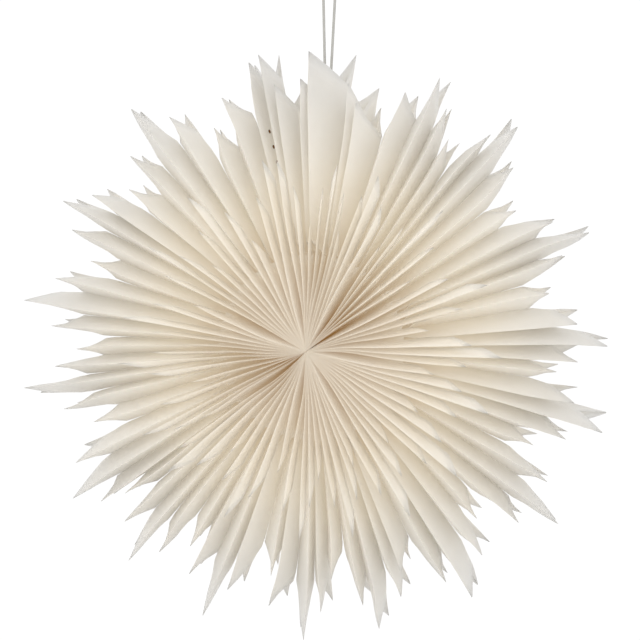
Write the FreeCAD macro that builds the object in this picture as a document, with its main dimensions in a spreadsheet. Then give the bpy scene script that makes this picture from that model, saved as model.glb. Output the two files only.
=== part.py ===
import FreeCAD, Part
import Sketcher
import math
import os

# Hanging paper snowflake star, in millimetres.
#
# Seventy-two flat paper pockets, the leaves, stand round a core like the pages of an
# opened book.  They repeat long, middle, short, middle.  Two neighbouring leaves are
# glued face to face and move as one pair, and the pairs open like a fan about the core.
# One closing leaf, with three punched holes, ends the fan.
#
# Frame: +Z up, the star faces -Y, and the origin is the inside top of the hanging loop.

FRONT = FreeCAD.Vector(0, 1, 0)

doc = FreeCAD.newDocument("paper_snowflake_star")
sheet = doc.addObject("Spreadsheet::Sheet", "Sizes")

SIZES = {
    "long_tip": 225.0,             # radius of each leaf's outer point
    "mid_tip": 204.0,
    "short_tip": 184.0,
    "long_front": 143.0,           # radius of each leaf's front point
    "mid_front": 120.0,
    "short_front": 94.0,
    "notch_drop": 15.0,            # depth of the V between a leaf's two outer points
    "front_drop": 14.0,            # how far a front point's cut falls towards the slot
    "core_radius": 10.0,           # where the pairs hinge on each other
    "core_depth": 72.0,            # half the star's depth at the core
    "front_depth": 66.0,           # depth of the front points
    "lobe_depth": 42.0,            # deep side of the front lobe
    "slot_radius": 70.0,           # bottom of the slot between front lobe and spear
    "spear_root_depth": 30.0,      # half width of the spear at the slot
    "spear_tip_depth": 24.0,       # half width of the spear at its points
    "pocket_thick": 0.25,          # both paper layers of a leaf, pressed flat
    "glue_gap": 0.1,               # between the two leaves of a pair
    "star_drop": 285.0,            # star centre below the inside top of the loop
    "star_side": -9.3,             # star centre beside the loop
    "first_angle": -10.5,          # direction of the first long leaf, clockwise from up
    "closing_angle": 346.0,        # direction of the closing leaf
    "punch_radius": 1.5,           # punched holes in the closing leaf
    "punch_depth": 12.0,
    "punch_step": 12.0,
    "punch_outer": 166.0,
    "punch_aside": 8.0,
    "tie_hole": 1.9,               # hole for the cord, in the root pair's middle leaf
    "tie_hole_at": 182.9,
    "cord_diameter": 2.3,
    "knot_radius": 3.4,
    "knot_at": 194.5,
}

# How far apart, in degrees, the long leaves stand: one value for each pack of four.
PACK_SPREADS = [20.5, 15, 18.5, 25.5, 21, 17.5, 20.5, 19, 19,
                16.5, 23, 21.5, 14, 23, 15.5, 22.5, 19.5, 24.5]
PAIR_MIDDLES = [0.125, 0.625]     # where a pack's two pairs stand, as shares of its spread
ROOT_PAIR = 1

for row, (alias, value) in enumerate(SIZES.items(), start=1):
    sheet.set("A%d" % row, alias)
    sheet.set("B%d" % row, str(value))
    sheet.setAlias("B%d" % row, alias)
for number, spread in enumerate(PACK_SPREADS, start=1):
    row = len(SIZES) + number
    sheet.set("A%d" % row, "spread of pack %d" % number)
    sheet.set("B%d" % row, str(spread))
    sheet.setAlias("B%d" % row, "spread_%02d" % number)
doc.recompute()


def size(alias):
    return float(sheet.get(alias))


def origin_plane(body, role):
    return next(item for item in body.Origin.OriginFeatures if item.Role == role)


def leaf_outline(sketch, corners):
    """Closed outline through corners, each given as (depth, radius) expressions."""
    count = len(corners)
    places = []
    for depth, radius in corners:
        places.append(FreeCAD.Vector(evaluate(sketch, depth), evaluate(sketch, radius), 0))
    for index in range(count):
        sketch.addGeometry(Part.LineSegment(places[index], places[(index + 1) % count]))
    for index in range(count):
        sketch.addConstraint(Sketcher.Constraint("Coincident", index, 2, (index + 1) % count, 1))
    for index, (depth, radius) in enumerate(corners):
        if depth == "0":
            sketch.addConstraint(Sketcher.Constraint("PointOnObject", index, 1, -2))
        else:
            place_constraint(sketch, "DistanceX", index, places[index].x, depth)
        place_constraint(sketch, "DistanceY", index, places[index].y, radius)


def evaluate(holder, expression):
    return float(holder.evalExpression(expression))


def place_constraint(sketch, kind, index, value, expression):
    number = sketch.addConstraint(Sketcher.Constraint(kind, -1, 1, index, 1, value))
    sketch.setExpression("Constraints[%d]" % number, expression)


def half_leaf_corners(tip, front):
    """The back half of a leaf, from its mid-depth glue line outwards."""
    return [
        ("0", "Sizes.core_radius"),
        ("0", "Sizes.%s - Sizes.notch_drop" % tip),
        ("Sizes.spear_tip_depth", "Sizes.%s" % tip),
        ("Sizes.spear_root_depth", "Sizes.slot_radius"),
        ("Sizes.lobe_depth", "Sizes.slot_radius"),
        ("Sizes.lobe_depth", "Sizes.%s - Sizes.front_drop" % front),
        ("Sizes.front_depth", "Sizes.%s" % front),
        ("Sizes.core_depth", "Sizes.core_radius"),
    ]


def make_leaf(name, tip, front, offset, holes=()):
    """One leaf, pointing up from the star's centre; holes are (depth, radius, hole radius)."""
    body = doc.addObject("PartDesign::Body", name)
    sketch = body.newObject("Sketcher::SketchObject", name + "_outline")
    sketch.AttachmentSupport = [(origin_plane(body, "YZ_Plane"), "")]
    sketch.MapMode = "FlatFace"
    sketch.setExpression("AttachmentOffset.Base.z", offset)
    leaf_outline(sketch, half_leaf_corners(tip, front))
    doc.recompute()
    pad = body.newObject("PartDesign::Pad", name + "_back_half")
    pad.Profile = sketch
    pad.setExpression("Length", "Sizes.pocket_thick")
    sketch.Visibility = False
    doc.recompute()
    mirror = body.newObject("PartDesign::Mirrored", name + "_front_half")
    mirror.Originals = [pad]
    mirror.MirrorPlane = (origin_plane(body, "XZ_Plane"), [""])
    body.Tip = mirror
    doc.recompute()
    if holes:
        punch = body.newObject("Sketcher::SketchObject", name + "_holes")
        punch.AttachmentSupport = [(origin_plane(body, "YZ_Plane"), "")]
        punch.MapMode = "FlatFace"
        for depth, radius, hole_radius in holes:
            punch_circle(punch, depth, radius, hole_radius)
        doc.recompute()
        pocket = body.newObject("PartDesign::Pocket", name + "_punched")
        pocket.Profile = punch
        pocket.Type = "ThroughAll"
        pocket.Midplane = True
        body.Tip = pocket
        doc.recompute()
    return body


def punch_circle(sketch, depth, radius, hole_radius):
    centre = FreeCAD.Vector(evaluate(sketch, depth), evaluate(sketch, radius), 0)
    size_now = evaluate(sketch, hole_radius)
    index = sketch.addGeometry(Part.Circle(centre, FreeCAD.Vector(0, 0, 1), size_now))
    radius_number = sketch.addConstraint(Sketcher.Constraint("Radius", index, size_now))
    sketch.setExpression("Constraints[%d]" % radius_number, hole_radius)
    if depth == "0":
        sketch.addConstraint(Sketcher.Constraint("PointOnObject", index, 3, -2))
    else:
        number = sketch.addConstraint(Sketcher.Constraint("DistanceX", -1, 1, index, 3, centre.x))
        sketch.setExpression("Constraints[%d]" % number, depth)
    number = sketch.addConstraint(Sketcher.Constraint("DistanceY", -1, 1, index, 3, centre.y))
    sketch.setExpression("Constraints[%d]" % number, radius)


def turned_about_centre(angle):
    """Placement of a part made upright about the star's centre, at a clockwise angle."""
    centre = FreeCAD.Vector(size("star_side"), 0, -size("star_drop"))
    return FreeCAD.Placement(centre, FreeCAD.Rotation(FRONT, angle))


def bind_to_centre(item, angle_expression):
    item.Placement = turned_about_centre(evaluate(item, angle_expression))
    item.setExpression("Placement.Base.x", "Sizes.star_side")
    item.setExpression("Placement.Base.z", "-Sizes.star_drop")
    item.setExpression("Placement.Rotation.Angle", angle_expression)


# ---------------------------------------------------------------- the leaves

LEFT = "-(Sizes.glue_gap / 2 + Sizes.pocket_thick)"
RIGHT = "Sizes.glue_gap / 2"
MIDDLE = "-Sizes.pocket_thick / 2"
tie_hole = [("0", "Sizes.tie_hole_at", "Sizes.tie_hole")]
punched = [
    ("-Sizes.punch_depth", "Sizes.punch_outer", "Sizes.punch_radius"),
    ("-Sizes.punch_depth", "Sizes.punch_outer - Sizes.punch_step", "Sizes.punch_radius"),
    ("-Sizes.punch_depth + Sizes.punch_aside", "Sizes.punch_outer - 2 * Sizes.punch_step",
     "Sizes.punch_radius"),
]

long_leaf = make_leaf("long_leaf", "long_tip", "long_front", LEFT)
short_leaf = make_leaf("short_leaf", "short_tip", "short_front", LEFT)
mid_leaf = make_leaf("mid_leaf", "mid_tip", "mid_front", RIGHT)
tied_leaf = make_leaf("tied_mid_leaf", "mid_tip", "mid_front", RIGHT, tie_hole)
closing_leaf = make_leaf("closing_leaf", "long_tip", "long_front", MIDDLE, punched)

nodes = []


def pack_start(pack):
    """Angle of a pack's long leaf, as an expression on the packs before it."""
    before = ["Sizes.spread_%02d" % (number + 1) for number in range(pack)]
    return " + ".join(["Sizes.first_angle"] + before)


for pack in range(len(PACK_SPREADS)):
    spread = "Sizes.spread_%02d" % (pack + 1)
    for half, (kind, left_leaf) in enumerate([("long", long_leaf), ("short", short_leaf)]):
        is_root = 2 * pack + half == ROOT_PAIR
        pair = doc.addObject("Part::Compound", "%s_mid_leaves_%02d" % (kind, pack + 1))
        pair.Label = pair.Name
        pair.Links = [left_leaf, tied_leaf if is_root else mid_leaf]
        middle = "%s * %g" % (spread, PAIR_MIDDLES[half])
        bind_to_centre(pair, "%s + %s" % (pack_start(pack), middle))
        nodes.append(pair)

bind_to_centre(closing_leaf, "Sizes.closing_angle")
nodes.append(closing_leaf)
doc.recompute()

# ------------------------------------------------------- the knot on the root pair

root_turn = nodes[ROOT_PAIR].Placement
RING_SHORT_OF_KNOT = 1.2
tie_reach = (size("knot_at") - size("tie_hole_at")) / 2 - RING_SHORT_OF_KNOT

tie_ring = doc.addObject("Part::Torus", "tie_ring")
tie_ring.Radius1 = tie_reach
tie_ring.setExpression("Radius2", "Sizes.cord_diameter / 2")
tie_place = FreeCAD.Vector(size("glue_gap") / 2 + size("pocket_thick") / 2, 0,
                           size("tie_hole_at") + tie_reach)
tie_ring.Placement = FreeCAD.Placement(tie_place, FreeCAD.Rotation(FreeCAD.Vector(1, 0, 0), 90))

knot_ball = doc.addObject("Part::Sphere", "knot_ball")
knot_ball.setExpression("Radius", "Sizes.knot_radius")
knot_ball.setExpression("Placement.Base.z", "Sizes.knot_at")

cord_knot = doc.addObject("Part::Fuse", "cord_knot")
cord_knot.Base = knot_ball
cord_knot.Tool = tie_ring
cord_knot.Placement = root_turn
doc.recompute()
nodes.append(cord_knot)

# ------------------------------------------------------------- the hanging cord

# From the knot up the left strand, over the bight and down the right strand.
KNOT_SIDE = 1.9
KNOT_RISE = 1.6
STRAND_APART = 5.2
CORNER_SHARE = 0.45             # share of the shorter run that a corner's arc takes up
knot_centre = root_turn.multVec(FreeCAD.Vector(0, 0, size("knot_at")))
cord_radius = size("cord_diameter") / 2
cord_route = [
    FreeCAD.Vector(knot_centre.x - KNOT_SIDE, 0, knot_centre.z + KNOT_RISE),
    FreeCAD.Vector(-STRAND_APART, 0, cord_radius),
    FreeCAD.Vector(STRAND_APART, 0, cord_radius),
    FreeCAD.Vector(knot_centre.x + KNOT_SIDE, 0, knot_centre.z + KNOT_RISE),
]


def rounded_path(points):
    """Straight runs joined by tangent arcs, as large as the runs allow, and their length."""
    edges = []
    start = points[0]
    for index in range(1, len(points) - 1):
        corner = points[index]
        back = points[index - 1] - corner
        ahead = points[index + 1] - corner
        turn = math.pi - back.getAngle(ahead)
        setback = CORNER_SHARE * min(back.Length, ahead.Length)
        radius = setback / math.tan(turn / 2)
        back.normalize()
        ahead.normalize()
        arc_start = corner + back * setback
        arc_end = corner + ahead * setback
        inwards = back + ahead
        inwards.normalize()
        arc_middle = corner + inwards * (radius / math.cos(turn / 2) - radius)
        edges.append(Part.LineSegment(start, arc_start).toShape())
        edges.append(Part.Arc(arc_start, arc_middle, arc_end).toShape())
        print("cord arc radius %.2f mm" % radius)
        start = arc_end
    edges.append(Part.LineSegment(start, points[-1]).toShape())
    return Part.Wire(edges)


cord_path = rounded_path(cord_route)
cord_start = cord_path.Edges[0]
section = Part.Circle(cord_start.valueAt(cord_start.FirstParameter),
                      cord_start.tangentAt(cord_start.FirstParameter), cord_radius)
cord_solid = cord_path.makePipeShell([Part.Wire([section.toShape()])], True, False)
expected_volume = math.pi * cord_radius ** 2 * cord_path.Length
print("cord length %.1f mm, volume %.1f of %.1f mm3"
      % (cord_path.Length, cord_solid.Volume, expected_volume))

hanging_cord = doc.addObject("Part::Feature", "hanging_cord")
hanging_cord.Shape = cord_solid
nodes.append(hanging_cord)
doc.recompute()

# --------------------------------------------------------------- check and write

for item in doc.Objects:
    if "Invalid" in item.State or "Error" in item.State:
        raise RuntimeError("%s failed: %s" % (item.Label, item.State))

os.makedirs("parts", exist_ok=True)
for node in nodes:
    shape = node.Shape
    if shape.isNull() or not shape.isValid():
        raise RuntimeError("%s has no valid shape" % node.Label)
    shape.exportStep(os.path.join("parts", node.Label + ".step"))
print("%d nodes written" % len(nodes))
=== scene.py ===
import math
import random
import bmesh
import bpy
from mathutils import Matrix, Vector


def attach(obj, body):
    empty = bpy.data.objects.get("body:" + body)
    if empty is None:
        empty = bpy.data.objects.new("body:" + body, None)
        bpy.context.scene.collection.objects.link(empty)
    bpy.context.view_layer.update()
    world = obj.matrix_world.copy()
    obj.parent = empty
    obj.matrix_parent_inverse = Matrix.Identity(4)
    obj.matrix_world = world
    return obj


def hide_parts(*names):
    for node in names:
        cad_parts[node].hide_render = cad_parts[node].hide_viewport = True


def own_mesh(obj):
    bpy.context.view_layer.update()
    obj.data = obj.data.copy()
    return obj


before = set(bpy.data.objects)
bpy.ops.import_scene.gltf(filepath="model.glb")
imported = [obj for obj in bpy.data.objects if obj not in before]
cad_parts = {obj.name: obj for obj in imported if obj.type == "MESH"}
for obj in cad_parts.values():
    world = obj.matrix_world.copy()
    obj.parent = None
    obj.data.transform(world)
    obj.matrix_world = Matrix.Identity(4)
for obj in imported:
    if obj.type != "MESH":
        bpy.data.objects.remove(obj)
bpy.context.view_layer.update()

# A folding star of ivory paper pockets on a loop of cotton cord.  Metres, star facing -Y.
# Directions are degrees clockwise from up, and depths are from the star's middle plane.

MM = 0.001
STAR_CENTRE = Vector((-9.3, 0, -285)) * MM

# Leaf kinds: radius of the outer points and of the front points.
TIP = {"long": 225 * MM, "mid": 204 * MM, "short": 184 * MM}
FRONT_TIP = {"long": 143 * MM, "mid": 120 * MM, "short": 94 * MM}
PACK_ORDER = ("long", "mid", "short", "mid")
NOTCH_DROP = 20 * MM            # the V between a leaf's two outer points
FRONT_DROP = 15 * MM            # from a front point to the deep corner of its slanting cut
CORE_RADIUS = 0.8 * MM
CORE_DEPTH = 71 * MM            # depth of the front fold at the core
FRONT_DEPTH = 66 * MM           # and at the front point
LOBE_DEPTH = 42 * MM            # depth of a lobe's inner edge
SLOT_RADIUS = 70 * MM           # from here out a slot parts the lobes from the spear
SPEAR_ROOT_DEPTH = 30 * MM      # depth of the spear's ridge at the slot
SPEAR_TIP_DEPTH = 24 * MM       # and at the outer point
GLUE_SHORT_OF_TIP = 21 * MM     # the glue line stops this far below the lower leaf's points
SEAM_GLUE_END = 130 * MM        # radius where the seam's glue line stops
PAPER = 0.06 * MM               # thickness of one layer
GLUE_CLEAR = 0.07 * MM          # a layer stays this far inside its glue line
LEAST_WIDTH = 0.35              # but keeps this share of its distance from the leaf's plane

# Degrees from one long leaf to the next, clockwise from the seam.
PACK_SPREADS = [20.5, 15, 18.5, 25.5, 21, 17.5, 20.5, 19, 19,
                16.5, 23, 21.5, 14, 23, 15.5, 22.5, 19.5, 24.5]
FIRST_ANGLE = -10.5
PAIR_MIDDLES = (0.125, 0.625)   # shares of a pack's spread at which its two pairs stand

# Where each long leaf's paper really points, the closing leaf last: its front ridge and
# the outer points on its front and back.
FRONT_RIDGE = [-9.6, 11, 21, 44, 71, 93, 110, 130.5, 148, 166,
               182.5, 208, 231.5, 244, 268, 280, 304, 322, 346]
OUTER_FRONT = [-10.0, -0.7, 27, 46, 70, 90.5, 109, 129, 146, 166,
               182.5, 203, 222.5, 238.5, 259.5, 279, 300, 319.5, 346]
OUTER_BACK = [-8.5, 7.7, 25.5, 38.5, 64, 84.5, 101, 122.5, 146, 166,
              182.5, 203, 222.5, 238.5, 259.5, 279, 300, 323, 346]
FIRST_LEAF_MIDDLE = -8.7
SECOND_LEAF_MIDDLE = 4.5
CLOSING_LEAF_MIDDLE = 347.5
SEAM_HALVES = (1.2, 2.4)        # openings of the first and the closing leaf to the seam
TWIST_KEPT = 0.12               # share of a leaf's twist that its two points show
RIDGE_LEAN_KEPT = 0.75          # share of its lean that its front ridge shows
UNEVEN_SHARE = 0.06             # how far a leaf strays from even steps between two long leaves

# Near the core the front ridges gather in groups, with a wide valley at each of these.
VALLEYS = [30, 58, 100, 150, 190, 236, 292, 348]
VALLEY_HALF_WIDTH = 2.6 * MM
VALLEY_REACH = 9                # degrees over which a valley's push fades
GATHERED_OUT = 30 * MM          # ridges gather fully at this radius
GATHERED_END = 105 * MM         # and no more from this one out
GATHERED_PINCH = 0.25           # share of its opening a gathered ridge loses
LEAST_SQUEEZE = 0.3             # a front ridge keeps at least this share of its opening

# How a pocket's layers run.
LAYER_CURVE = 1.15              # power of depth by which a layer closes towards its fold
LEAN_FULL_RADIUS = 60 * MM      # a leaf's lean is complete from this radius out
FORMED_BEFORE_SLOT = 1 * MM     # the spear takes its own section from here
FORMED_PAST_SLOT = 10 * MM      # to here
SHUT_LENGTH = 12 * MM           # least length over which a spear narrows past the glue
FREE_LENGTH = 30 * MM           # a spear bends from this far below its shoulder
FOLD_ANGLE = math.radians(30)   # sharper edges than this are shown as creases
WELD = 0.01 * MM

ROOT_BODY = "pair_02"           # the pair that the cord is tied to
LEADING_FOLD = "fold_pair_14"

# Punched holes in the closing leaf, not cut but painted as dark spots of painted shade: distance
# from the star's centre and depth.
PUNCHED = [(166 * MM, -12 * MM), (154 * MM, -12 * MM), (142 * MM, -12.5 * MM)]
PUNCH_RADIUS = 1.5 * MM


# ------------------------------------------------------------------ shader helpers

class Maker:
    """Builds one material's nodes; values are Wire objects, so maths reads as maths."""

    def __init__(self, name):
        self.material = bpy.data.materials.new(name)
        self.material.use_nodes = True
        self.tree = self.material.node_tree
        self.tree.nodes.clear()

    def node(self, kind, settings=(), inputs=()):
        made = self.tree.nodes.new(kind)
        for key, value in dict(settings).items():
            setattr(made, key, value)
        for key, value in dict(inputs).items():
            self.feed(made.inputs[key], value)
        return made

    def feed(self, socket, value):
        if isinstance(value, Wire):
            self.tree.links.new(value.socket, socket)
        else:
            socket.default_value = value

    def wire(self, node, output=0):
        return Wire(self, node.outputs[output])

    def maths(self, operation, *values):
        node = self.node("ShaderNodeMath", {"operation": operation}, enumerate(values))
        return self.wire(node)

    def mix(self, factor, low, high, blend="MIX"):
        node = self.node("ShaderNodeMix", {"data_type": "RGBA", "blend_type": blend})
        self.feed(node.inputs[0], factor)
        self.feed(node.inputs[6], low)
        self.feed(node.inputs[7], high)
        return self.wire(node, 2)

    def vector(self, operation, *values, output=0):
        node = self.node("ShaderNodeVectorMath", {"operation": operation}, enumerate(values))
        return self.wire(node, output)

    def noise(self, vector, scale, detail=4.0, roughness=0.55):
        node = self.node("ShaderNodeTexNoise", {},
                         {"Vector": vector, "Scale": scale, "Detail": detail,
                          "Roughness": roughness})
        return self.wire(node)

    def output(self, shader):
        self.node("ShaderNodeOutputMaterial", {}, {"Surface": shader})
        return self.material


class Wire:
    """One socket's value, with the operators of arithmetic."""

    def __init__(self, maker, socket):
        self.maker = maker
        self.socket = socket

    def __add__(self, other):
        return self.maker.maths("ADD", self, other)

    def __sub__(self, other):
        return self.maker.maths("SUBTRACT", self, other)

    def __rsub__(self, other):
        return self.maker.maths("SUBTRACT", other, self)

    def __mul__(self, other):
        return self.maker.maths("MULTIPLY", self, other)

    __radd__ = __add__
    __rmul__ = __mul__

    def over(self, low, high):
        """0 below low, 1 above high, straight between."""
        node = self.maker.node("ShaderNodeMapRange", {"clamp": True},
                               {0: self, 1: low, 2: high, 3: 0.0, 4: 1.0})
        return self.maker.wire(node)


def ivory_paper(name, punched=()):
    """Uncoated ivory paper with painted bounce light: warm towards the core, paler at the points.
    Punched holes, each a centre and a direction, are not cut but painted as dark brown spots of
    painted shade, the shade seen through a hole."""
    m = Maker(name)
    # Each leaf's map holds how near a point is to a fold and how far out it is, both 0 to 1.
    leaf = m.node("ShaderNodeUVMap", {"uv_map": "leaf"})
    split = m.node("ShaderNodeSeparateXYZ", {}, {0: m.wire(leaf)})
    crease = m.wire(split, 0)
    reach = m.wire(split, 1)
    place = m.wire(m.node("ShaderNodeTexCoord"), 3)
    mottle = m.noise(place, 22.0, 3.0)
    fibre = m.noise(place, 900.0, 5.0, 0.7)
    cloud = m.noise(place, 130.0, 4.0, 0.6)

    # Painted bounce light: the colour warms towards the core, where light bounces between the
    # folds, and turns paler towards the points.
    warm = (0.985, 0.962, 0.915, 1.0)
    ivory = (0.975, 0.961, 0.928, 1.0)
    pale = (0.90, 0.896, 0.885, 1.0)
    outwards = reach + mottle * 0.18 - 0.09
    colour = m.mix(outwards.over(0.12, 0.62), warm, ivory)
    colour = m.mix(outwards.over(0.58, 0.98), colour, pale)
    folded = crease.over(0.965, 1.0)
    colour = m.mix(folded * 0.5, colour, (0.96, 0.94, 0.90, 1.0))
    grain = (cloud - 0.5) * 0.10 + (fibre - 0.5) * 0.10
    colour = m.mix(grain.over(-0.08, 0.08) * 0.16, colour, (0.74, 0.66, 0.54, 1.0))

    # A faint glow stands for the light that many bounces bring into the folds.
    deep = m.mix(outwards.over(0.05, 0.45), (0.30, 0.16, 0.05, 1.0), (0.80, 0.74, 0.635, 1.0))
    deep = m.mix(outwards.over(0.40, 0.95), deep, (0.33, 0.33, 0.33, 1.0))
    deep = m.mix(crease.over(0.35, 0.95) * (1 - reach) * 0.9, deep, (0.88, 0.87, 0.87, 1.0))

    # Each hole is a dark brown spot of painted shade, the shade seen through the hole, with no
    # glow there.
    for centre, along in punched:
        aside = m.vector("SUBTRACT", place, centre)
        away = m.vector("LENGTH", m.vector("CROSS_PRODUCT", aside, along), output=1)
        inside = 1 - away.over(PUNCH_RADIUS * 0.9, PUNCH_RADIUS * 1.1)
        colour = m.mix(inside, colour, (0.33, 0.17, 0.07, 1.0))
        deep = m.mix(inside, deep, (0.0, 0.0, 0.0, 1.0))

    bump = m.node("ShaderNodeBump", {}, {"Strength": 0.25, "Distance": 0.0002,
                                         "Height": fibre * 0.6 + cloud * 0.8})
    surface = m.node("ShaderNodeBsdfPrincipled", {},
                     {"Base Color": colour, "Roughness": 0.88 - fibre * 0.1,
                      "Specular IOR Level": 0.25, "Sheen Weight": 0.08,
                      "Emission Color": deep, "Emission Strength": 0.18,
                      "Normal": m.wire(bump)})
    glow = m.node("ShaderNodeBsdfTranslucent", {}, {"Color": colour, "Normal": m.wire(bump)})
    both = m.node("ShaderNodeMixShader", {}, {0: 0.5})
    m.feed(both.inputs[1], m.wire(surface))
    m.feed(both.inputs[2], m.wire(glow))
    return m.output(m.wire(both))


def cotton_cord():
    """Off-white cotton with a fine fuzz of fibres."""
    m = Maker("cotton_cord")
    place = m.wire(m.node("ShaderNodeTexCoord"), 3)
    fuzz = m.noise(place, 1400.0, 5.0, 0.7)
    soil = m.noise(place, 90.0, 3.0)
    colour = m.mix(soil.over(0.3, 0.7), (0.50, 0.49, 0.46, 1.0), (0.58, 0.57, 0.54, 1.0))
    colour = m.mix(fuzz.over(0.35, 0.65) * 0.3, colour, (0.36, 0.35, 0.32, 1.0))
    bump = m.node("ShaderNodeBump", {}, {"Strength": 0.6, "Distance": 0.0003, "Height": fuzz})
    surface = m.node("ShaderNodeBsdfPrincipled", {},
                     {"Base Color": colour, "Roughness": 0.9, "Specular IOR Level": 0.2,
                      "Sheen Weight": 0.25, "Normal": m.wire(bump)})
    return m.output(m.wire(surface))


def pale_floor():
    m = Maker("pale_floor")
    place = m.wire(m.node("ShaderNodeTexCoord"), 3)
    cloud = m.noise(place, 6.0)
    colour = m.mix(cloud.over(0.3, 0.7), (0.84, 0.84, 0.835, 1.0), (0.87, 0.87, 0.865, 1.0))
    surface = m.node("ShaderNodeBsdfPrincipled", {}, {"Base Color": colour, "Roughness": 0.7})
    return m.output(m.wire(surface))


# ------------------------------------------------------------------ camera and light

VIEW_WIDTH = 0.491              # width of the view at the star's distance
CAMERA_DISTANCE = 1.9
CAMERA_AZIMUTH = math.radians(7.0)
CAMERA_ELEVATION = math.radians(4.5)
CAMERA_TARGET = STAR_CENTRE + Vector((1.9, 0, 18.0)) * MM
SKY_STRENGTH = 1.05
SOFTBOX_PLACE = STAR_CENTRE + Vector((-0.9, -1.3, 1.0))
SOFTBOX_SIZE = (1.2, 1.0)
SOFTBOX_WATTS = 2.0
FLOOR_HALF = 1.05
FLOOR_BELOW_STAR = 0.6


def make_camera():
    data = bpy.data.cameras.new("camera")
    data.sensor_width = 36.0
    data.lens = data.sensor_width * CAMERA_DISTANCE / VIEW_WIDTH
    camera = bpy.data.objects.new("camera", data)
    bpy.context.scene.collection.objects.link(camera)
    level = math.cos(CAMERA_ELEVATION)
    back = Vector((math.sin(CAMERA_AZIMUTH) * level, -math.cos(CAMERA_AZIMUTH) * level,
                   math.sin(CAMERA_ELEVATION)))
    camera.location = CAMERA_TARGET + back * CAMERA_DISTANCE
    camera.rotation_mode = "QUATERNION"
    camera.rotation_quaternion = (-back).to_track_quat("-Z", "Y")
    bpy.context.scene.camera = camera


def make_light():
    world = bpy.data.worlds.new("studio")
    world.use_nodes = True
    background = world.node_tree.nodes["Background"]
    background.inputs["Color"].default_value = (1.0, 1.0, 1.0, 1.0)
    background.inputs["Strength"].default_value = SKY_STRENGTH
    bpy.context.scene.world = world
    bpy.context.scene.view_settings.view_transform = "Standard"
    data = bpy.data.lights.new("softbox", "AREA")
    data.shape = "RECTANGLE"
    data.size, data.size_y = SOFTBOX_SIZE
    data.energy = SOFTBOX_WATTS
    softbox = bpy.data.objects.new("softbox", data)
    bpy.context.scene.collection.objects.link(softbox)
    softbox.location = SOFTBOX_PLACE
    softbox.rotation_mode = "QUATERNION"
    softbox.rotation_quaternion = (STAR_CENTRE - SOFTBOX_PLACE).to_track_quat("-Z", "Y")


def make_floor():
    half = FLOOR_HALF
    height = STAR_CENTRE.z - FLOOR_BELOW_STAR
    mesh = bpy.data.meshes.new("floor")
    corners = [(-half, -half, height), (half, -half, height), (half, half, height),
               (-half, half, height)]
    mesh.from_pydata(corners, [], [(0, 1, 2, 3)])
    floor = bpy.data.objects.new("floor", mesh)
    bpy.context.scene.collection.objects.link(floor)
    floor.data.materials.append(pale_floor())


# ------------------------------------------------------------------ the hanging cord

CORD_DIAMETER = 2.3 * MM
CORD_STEP = 0.45 * MM
PLY_BULGE = 0.1                 # share of the cord's radius by which its plies stand out
KNOT_RADIUS_ON_STAR = 194.5 * MM
ROOT_PAIR_ANGLE = FIRST_ANGLE + PAIR_MIDDLES[1] * PACK_SPREADS[0]


def around_star(angle_degrees, radius):
    turn = math.radians(angle_degrees)
    return STAR_CENTRE + Vector((radius * math.sin(turn), 0, radius * math.cos(turn)))


KNOT_CENTRE = around_star(ROOT_PAIR_ANGLE, KNOT_RADIUS_ON_STAR)
KNOT_SIDE = 1.9 * MM            # from the knot's centre to where a strand leaves it
KNOT_RISE = 1.6 * MM
KNOT_WIDTH = 2.5 * MM
KNOT_THICKNESS = 1.5 * MM
KNOT_HEIGHT = 2.6 * MM
KNOT_STEPS = 150
KNOT_CORD_RADIUS = 0.42 * CORD_DIAMETER
HOLE_TURN_RADIUS = 4.6 * MM     # the turn of cord through the punched hole
HOLE_TURN_PLACE = Vector((0.2 * MM, 0, -7.0 * MM))
HOLE_TURN_STEPS = 60
HOLE_TURN_CORD_RADIUS = 0.46 * CORD_DIAMETER
STRAND_APART = 5.2 * MM         # half the width of the bight
CORD_ROUTE = [
    KNOT_CENTRE + Vector((-KNOT_SIDE, 0, KNOT_RISE)),
    Vector((-5.0, 0, -13.0)) * MM,
    Vector((-STRAND_APART, 0, CORD_DIAMETER / 2)),
    Vector((STRAND_APART, 0, CORD_DIAMETER / 2)),
    Vector((4.6, 0, -13.0)) * MM,
    KNOT_CENTRE + Vector((KNOT_SIDE, 0, KNOT_RISE)),
]


def centreline(route, name):
    """Points along the smooth line that a route's points steer."""
    curve = bpy.data.curves.new(name, "CURVE")
    curve.dimensions = "3D"
    curve.resolution_u = 24
    spline = curve.splines.new("NURBS")
    spline.points.add(len(route) - 1)
    for point, place in zip(spline.points, route):
        point.co = (*place, 1.0)
    spline.order_u = 3
    spline.use_endpoint_u = True
    holder = bpy.data.objects.new(name, curve)
    bpy.context.scene.collection.objects.link(holder)
    bpy.context.view_layer.update()
    line = bpy.data.meshes.new_from_object(holder)
    points = [vertex.co.copy() for vertex in line.vertices]
    bpy.data.objects.remove(holder)
    bpy.data.meshes.remove(line)
    return points


def evenly_spaced(points, step):
    """The same line with points one step apart."""
    spaced = [points[0]]
    left = step
    for start, end in zip(points, points[1:]):
        run = (end - start).length
        while run >= left:
            start = start.lerp(end, left / run)
            spaced.append(start)
            run = (end - start).length
            left = step
        left -= run
    spaced.append(points[-1])
    return spaced


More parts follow.
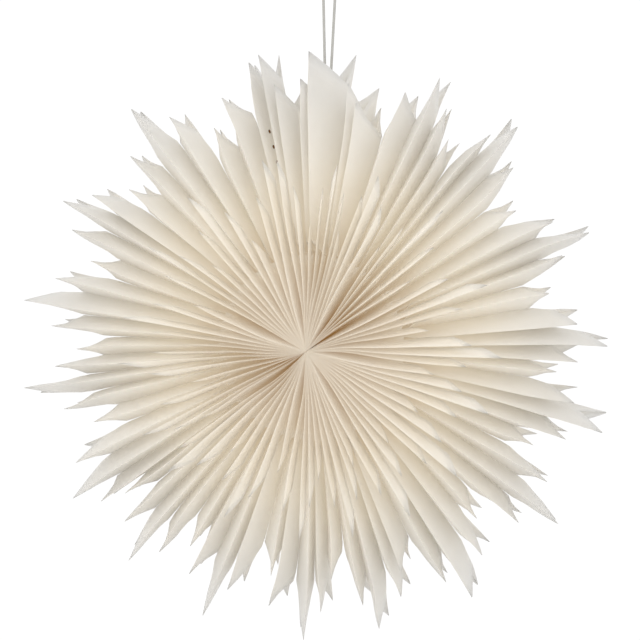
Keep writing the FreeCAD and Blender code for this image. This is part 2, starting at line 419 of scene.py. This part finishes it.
def twisted_tube(points, radius, plies=3, turns_per_metre=260, sides=18, closed=False):
    """A laid cord round a line: its section has one bulge for each ply and turns as it goes."""
    vertices, faces = [], []
    count = len(points)
    side = Vector((0, 1, 0))
    travelled = 0.0
    for index, point in enumerate(points):
        before = points[index - 1] if index or closed else point
        after = points[(index + 1) % count] if index < count - 1 or closed else point
        along = (after - before).normalized()
        side = (side - along * side.dot(along)).normalized()
        across = along.cross(side)
        if index:
            travelled += (point - points[index - 1]).length
        for corner in range(sides):
            around = 2 * math.pi * corner / sides
            twist = around * plies - 2 * math.pi * turns_per_metre * plies * travelled
            reach = radius * (1 - PLY_BULGE + PLY_BULGE * math.cos(twist))
            vertices.append(point + (side * math.cos(around) + across * math.sin(around)) * reach)
    rings = count if closed else count - 1
    for ring in range(rings):
        for corner in range(sides):
            first = ring * sides + corner
            second = ring * sides + (corner + 1) % sides
            third = ((ring + 1) % count) * sides + (corner + 1) % sides
            fourth = ((ring + 1) % count) * sides + corner
            faces.append((first, second, third, fourth))
    if not closed:
        faces.append(tuple(reversed(range(sides))))
        faces.append(tuple(range((count - 1) * sides, count * sides)))
    return vertices, faces


def add_piece(name, vertices, faces, material, body):
    mesh = bpy.data.meshes.new(name)
    mesh.from_pydata([tuple(v) for v in vertices], [], faces)
    mesh.validate()
    for polygon in mesh.polygons:
        polygon.use_smooth = True
    mesh.materials.append(material)
    piece = bpy.data.objects.new(name, mesh)
    bpy.context.scene.collection.objects.link(piece)
    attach(piece, body)
    return piece


def make_cord(material):
    line = centreline(CORD_ROUTE, "cord_line")
    path = evenly_spaced(line, CORD_STEP)
    vertices, faces = twisted_tube(path, CORD_DIAMETER / 2)
    cord = add_piece("cotton_loop", vertices, faces, material, ROOT_BODY)
    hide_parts("hanging_cord")
    length = sum((b - a).length for a, b in zip(path, path[1:]))
    knot = make_knot(material)


def make_knot(material):
    """An overhand knot on top of the punched hole, and the turn of cord through the hole."""
    upright = Matrix.Rotation(math.radians(ROOT_PAIR_ANGLE), 4, "Y")
    trefoil = []
    for step in range(KNOT_STEPS):
        t = 2 * math.pi * step / KNOT_STEPS
        wide = (2 + math.cos(3 * t)) / 3
        trefoil.append(KNOT_CENTRE + upright @ Vector((KNOT_WIDTH * wide * math.cos(2 * t),
                                                       KNOT_THICKNESS * math.sin(3 * t),
                                                       KNOT_HEIGHT * wide * math.sin(2 * t))))
    vertices, faces = twisted_tube(trefoil, KNOT_CORD_RADIUS, sides=14, closed=True)
    ring_centre = KNOT_CENTRE + upright @ HOLE_TURN_PLACE
    ring = []
    for step in range(HOLE_TURN_STEPS):
        t = 2 * math.pi * step / HOLE_TURN_STEPS
        ring.append(ring_centre + upright @ Vector((HOLE_TURN_RADIUS * math.cos(t), 0,
                                                    HOLE_TURN_RADIUS * math.sin(t))))
    more_vertices, more_faces = twisted_tube(ring, HOLE_TURN_CORD_RADIUS, sides=14, closed=True)
    offset = len(vertices)
    vertices += more_vertices
    faces += [tuple(index + offset for index in face) for face in more_faces]
    knot = add_piece("cotton_knot", vertices, faces, material, ROOT_BODY)
    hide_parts("cord_knot")
    return knot


# ------------------------------------------------------------------ the leaves

def smooth(value, low, high):
    share = min(1.0, max(0.0, (value - low) / (high - low)))
    return share * share * (3 - 2 * share)


class Stance:
    """Directions of a leaf, in degrees clockwise from up."""

    def __init__(self, middle, ridge, front, back):
        self.middle = middle            # in the middle plane, where the glue lines run
        self.ridge = ridge              # front ridge of the body
        self.front = front              # outer points
        self.back = back

    def towards(self, other, share):
        def between(low, high):
            return low + (high - low) * share
        return Stance(between(self.middle, other.middle), between(self.ridge, other.ridge),
                      between(self.front, other.front), between(self.back, other.back))


def parting(ridge):
    """How far, from -1 to 1, the nearest valley pushes a ridge aside."""
    away = min(((ridge - valley + 180) % 360 - 180 for valley in VALLEYS), key=abs)
    return math.copysign(math.exp(-abs(away) / VALLEY_REACH), away)


def long_stances():
    """Stances of the long leaves, the closing leaf last."""
    stances = []
    for index, (ridge, front, back) in enumerate(zip(FRONT_RIDGE, OUTER_FRONT, OUTER_BACK)):
        set_middles = {0: FIRST_LEAF_MIDDLE, 1: SECOND_LEAF_MIDDLE,
                       len(PACK_SPREADS): CLOSING_LEAF_MIDDLE}
        middle = set_middles.get(index, (front + back) / 2)
        if index not in set_middles:
            front, back = (middle + (point - middle) * TWIST_KEPT for point in (front, back))
        stances.append(Stance(middle, middle + (ridge - middle) * RIDGE_LEAN_KEPT, front, back))
    return stances


class Leaf:
    """One paper pocket: where it stands, how far it opens, and how it bends."""

    def __init__(self, kind, stance, rng):
        self.stance = stance
        self.parting = parting(stance.ridge)
        # Sides of a leaf are -1 for its left layer and 1 for its right one.
        self.half = {-1: 0.0, 1: 0.0}           # opening to the glue line, degrees
        self.glue_end = {-1: 0.0, 1: 0.0}       # radius where the glue line stops
        self.tip = TIP[kind] + rng.uniform(-4.0, 3.5) * MM
        self.front = FRONT_TIP[kind] + rng.uniform(-3.0, 3.0) * MM
        self.back = FRONT_TIP[kind] + rng.uniform(-3.0, 3.0) * MM
        self.notch = NOTCH_DROP + rng.uniform(-2.5, 3.0) * MM
        self.bend = rng.uniform(-4.0, 4.0) * MM
        self.curl = rng.uniform(-4.0, 4.0) * MM
        self.sway = {-1: rng.uniform(-1.4, 1.4), 1: rng.uniform(-1.4, 1.4)}
        self.front_curl = rng.uniform(-2.0, 4.0) * MM
        self.front_bend = rng.uniform(-1.0, 1.0) * MM
        self.squeeze = {-1: 1.0, 1: 1.0}        # share of its opening a front ridge keeps
        self.rounding = rng.uniform(0.0, 1.6) * MM
        self.spear_open = rng.uniform(0.42, 0.62)
        self.lobe_open = rng.uniform(0.85, 1.05)
        self.swell = rng.uniform(0.95, 1.25)

    def ridge_depth(self, radius):
        share = (radius - CORE_RADIUS) / (self.front - CORE_RADIUS)
        return CORE_DEPTH + (FRONT_DEPTH - CORE_DEPTH) * share

    def spear_depth(self, radius):
        share = (radius - SLOT_RADIUS) / (self.tip - SLOT_RADIUS)
        return SPEAR_ROOT_DEPTH + (SPEAR_TIP_DEPTH - SPEAR_ROOT_DEPTH) * share

    def outer_edge(self, across):
        """Radius of the cut at a share of the way from the glue line (0) to the fold (1)."""
        if across == 1:
            return self.tip - self.rounding
        return self.tip - self.notch * (1 - across)

    def place(self, side, radius, depth, part):
        """Point of one layer at a radius and a depth; part is body, spear or lobe."""
        towards = -1 if depth < 0 else 1
        share = min(1.0, abs(depth) / self.ridge_depth(radius))
        opening = 1 - share ** LAYER_CURVE
        body_lean = self.stance.ridge if towards < 0 else self.stance.back
        spear_lean = self.stance.front if towards < 0 else self.stance.back
        lean = (body_lean - self.stance.middle) * share * smooth(radius, 0, LEAN_FULL_RADIUS)
        across = 0.0
        if part == "spear":
            spear_share = min(1.0, abs(depth) / self.spear_depth(radius))
            formed = smooth(radius, SLOT_RADIUS - FORMED_BEFORE_SLOT,
                            SLOT_RADIUS + FORMED_PAST_SLOT)
            opening += (1 - spear_share ** self.swell - opening) * formed
            out = spear_lean - self.stance.middle + self.sway[towards]
            lean += (out * spear_share - lean) * formed
            glue_end = self.glue_end[side]
            shoulder = self.tip - self.notch
            shut = smooth(radius, glue_end, max(glue_end + SHUT_LENGTH, shoulder))
            opening *= 1 + (self.spear_open - 1) * shut
            free = smooth(radius, shoulder - FREE_LENGTH, self.tip)
            across = self.bend * free * free
            depth += self.curl * free * free
        if towards < 0 and part != "spear":
            gathered = min(1.0, radius / GATHERED_OUT)
            gathered *= 1 - smooth(radius, GATHERED_OUT, GATHERED_END)
            across += VALLEY_HALF_WIDTH * self.parting * share * gathered
            opening *= 1 + (self.squeeze[side] - GATHERED_PINCH * gathered - 1) * share
        if part == "lobe":
            top = self.front if towards < 0 else self.back
            free = smooth(radius, SLOT_RADIUS, top)
            opening *= 1 + (self.lobe_open - 1) * free
            across += self.front_bend * free * free
            depth -= towards * self.front_curl * free * free
        wide = radius * math.sin(math.radians(self.half[side])) * opening
        wide = max(wide * LEAST_WIDTH, wide - GLUE_CLEAR)
        turn = math.radians(lean)
        x = radius * math.sin(turn) + side * wide + across
        z = radius * math.cos(turn)
        stand = math.radians(self.stance.middle)
        return STAR_CENTRE + Vector((x * math.cos(stand) + z * math.sin(stand), depth,
                                     z * math.cos(stand) - x * math.sin(stand)))


BODY_ROWS = 8
SPEAR_ROWS = 14
LOBE_ROWS = 6
RIDGE_SHARES = (1.0, 0.72, 0.36, 0.0)              # from the front fold to a lobe's inner edge
SPEAR_SHARES = (1.0, 0.94, 0.8, 0.55, 0.28, 0.0)   # from the spear's ridge to the glue line


def depth_stations(leaf, radius):
    """Depths across a leaf at a radius, front to back; the same count at every radius."""
    ridge = leaf.ridge_depth(radius)
    spear = leaf.spear_depth(max(radius, SLOT_RADIUS))
    half = [LOBE_DEPTH + (ridge - LOBE_DEPTH) * share for share in RIDGE_SHARES]
    half += [spear * share for share in SPEAR_SHARES]
    return [-depth for depth in half] + [depth for depth in reversed(half[:-1])]


def leaf_layer(leaf, side, grid):
    """Adds one paper layer to grid: its body, then its spear, then its front and back lobe."""
    vertices, faces, marks = grid
    spear_first = len(RIDGE_SHARES)
    spear_count = 2 * len(SPEAR_SHARES) - 1

    def add(radius, depth, part, share):
        vertices.append(leaf.place(side, radius, depth, part))
        marks.append((share, radius / TIP["long"]))
        return len(vertices) - 1

    rows = []
    for row in range(BODY_ROWS + 1):
        radius = CORE_RADIUS + (SLOT_RADIUS - CORE_RADIUS) * row / BODY_ROWS
        depths = depth_stations(leaf, radius)
        ridge = leaf.ridge_depth(radius)
        rows.append([add(radius, depth, "body", abs(depth) / ridge) for depth in depths])
    bridge(rows, faces, side)

    spear_rows = [rows[-1][spear_first:spear_first + spear_count]]
    shares = [-share for share in SPEAR_SHARES] + list(reversed(SPEAR_SHARES[:-1]))
    for row in range(1, SPEAR_ROWS + 1):
        line = []
        for across in shares:
            top = leaf.outer_edge(abs(across))
            radius = SLOT_RADIUS + (top - SLOT_RADIUS) * row / SPEAR_ROWS
            depth = leaf.spear_depth(radius) * across
            line.append(add(radius, depth, "spear", abs(across) * min(1.0, 4 * row / SPEAR_ROWS)))
        spear_rows.append(line)
    bridge(spear_rows, faces, side)

    for towards, top in ((-1, leaf.front), (1, leaf.back)):
        folds = RIDGE_SHARES if towards < 0 else tuple(reversed(RIDGE_SHARES))
        first = rows[-1][:len(folds)] if towards < 0 else rows[-1][-len(folds):]
        lobe_rows = [first]
        for row in range(1, LOBE_ROWS + 1):
            line = []
            for fold in folds:
                crown = top - FRONT_DROP * (1 - fold) ** LAYER_CURVE
                radius = SLOT_RADIUS + (crown - SLOT_RADIUS) * row / LOBE_ROWS
                ridge = leaf.ridge_depth(radius)
                depth = towards * (LOBE_DEPTH + (ridge - LOBE_DEPTH) * fold)
                line.append(add(radius, depth, "lobe", abs(depth) / ridge))
            lobe_rows.append(line)
        bridge(lobe_rows, faces, side)


def bridge(rows, faces, side):
    """Faces between each row of points and the next, looking outwards on either side."""
    for low, high in zip(rows, rows[1:]):
        for index in range(len(low) - 1):
            face = (low[index], low[index + 1], high[index + 1], high[index])
            faces.append(face if side > 0 else tuple(reversed(face)))


def make_leaf(name, leaf, body, material):
    vertices, faces, marks = grid = ([], [], [])
    for side in (-1, 1):
        leaf_layer(leaf, side, grid)
    mesh = bpy.data.meshes.new(name)
    mesh.from_pydata([tuple(v) for v in vertices], [], faces)
    layer = mesh.uv_layers.new(name="leaf")
    for loop in mesh.loops:
        layer.data[loop.index].uv = marks[loop.vertex_index]
    join_folds(mesh)
    mesh.materials.append(material)
    for polygon in mesh.polygons:
        polygon.use_smooth = True
    piece = bpy.data.objects.new(name, mesh)
    bpy.context.scene.collection.objects.link(piece)
    thicken(piece)
    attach(piece, body)
    return piece


def join_folds(mesh):
    """Welds the two layers where they meet in a fold, and keeps the fold sharp."""
    work = bmesh.new()
    work.from_mesh(mesh)
    bmesh.ops.remove_doubles(work, verts=work.verts, dist=WELD)
    for edge in work.edges:
        if edge.is_manifold and edge.calc_face_angle(0.0) > FOLD_ANGLE:
            edge.smooth = False
    work.to_mesh(mesh)
    work.free()


def thicken(piece):
    """Gives the paper its thickness, outwards, as plain mesh data."""
    modifier = piece.modifiers.new("paper", "SOLIDIFY")
    modifier.thickness = PAPER
    modifier.offset = 1.0
    modifier.use_rim = True
    bpy.context.view_layer.update()
    solid = bpy.data.meshes.new_from_object(
        piece.evaluated_get(bpy.context.evaluated_depsgraph_get()))
    piece.modifiers.clear()
    old = piece.data
    piece.data = solid
    bpy.data.meshes.remove(old)
    piece.data.name = piece.name


def leaf_order(rng):
    """The leaves in order, the closing leaf last, with their openings set."""
    longs = long_stances()
    leaves = []
    for pack in range(len(PACK_SPREADS)):
        for index, kind in enumerate(PACK_ORDER):
            share = index / len(PACK_ORDER)
            if index:
                share += rng.uniform(-UNEVEN_SHARE, UNEVEN_SHARE)
            leaves.append(Leaf(kind, longs[pack].towards(longs[pack + 1], share), rng))
    leaves.append(Leaf("long", longs[-1], rng))
    for low, high in zip(leaves, leaves[1:]):
        half = (high.stance.middle - low.stance.middle) / 2
        glue_end = min(low.tip, high.tip) - GLUE_SHORT_OF_TIP
        low.half[1] = high.half[-1] = half
        low.glue_end[1] = high.glue_end[-1] = glue_end
        ridge_half = (high.stance.ridge - low.stance.ridge) / 2
        low.squeeze[1] = high.squeeze[-1] = min(1.0, max(LEAST_SQUEEZE, ridge_half / half))
    for leaf in leaves:
        leaf.parting *= min(leaf.squeeze.values()) ** 2
    first, last = leaves[0], leaves[-1]
    first.half[-1], last.half[1] = SEAM_HALVES
    first.glue_end[-1] = last.glue_end[1] = SEAM_GLUE_END
    return leaves


def hole_places(leaf):
    """Centre and direction of each punched hole in the leaf's right layer."""
    stand = math.radians(leaf.stance.middle)
    out = Vector((math.cos(stand), 0, -math.sin(stand)))
    return [(leaf.place(1, radius, depth, "spear"), out) for radius, depth in PUNCHED]


def leaf_labels(index):
    """A leaf's piece, its body and its CAD node, and the direction in which its pair stands."""
    pack, member = divmod(index, len(PACK_ORDER))
    start = FIRST_ANGLE + sum(PACK_SPREADS[:pack])
    if pack == len(PACK_SPREADS):
        return "closing_leaf_pocket", "closing", "closing_leaf", start
    half, second = divmod(member, 2)
    first_kind = ("long", "short")[half]
    name = "%s_leaf_%02d" % (first_kind, pack + 1)
    if second:
        name = "mid_leaf_%02d_%s" % (pack + 1, "ab"[half])
    body = "pair_%02d" % (2 * pack + half + 1)
    node = "%s_mid_leaves_%02d" % (first_kind, pack + 1)
    return name, body, node, start + PACK_SPREADS[pack] * PAIR_MIDDLES[half]


def make_star():
    rng = random.Random(11)
    material = ivory_paper("ivory_paper")
    for index, leaf in enumerate(leaf_order(rng)):
        name, body, node, plane = leaf_labels(index)
        if body == "closing":
            # The closing leaf's paper carries its holes as spots of painted shade.
            material = ivory_paper("paper_painted_hole_shade", hole_places(leaf))
        piece = make_leaf(name, leaf, body, material)
        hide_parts(node)
        joint = "fold_" + body if body != ROOT_BODY else LEADING_FOLD
        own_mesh(piece)


make_camera()
make_cord(cotton_cord())
make_light()
make_floor()
make_star()
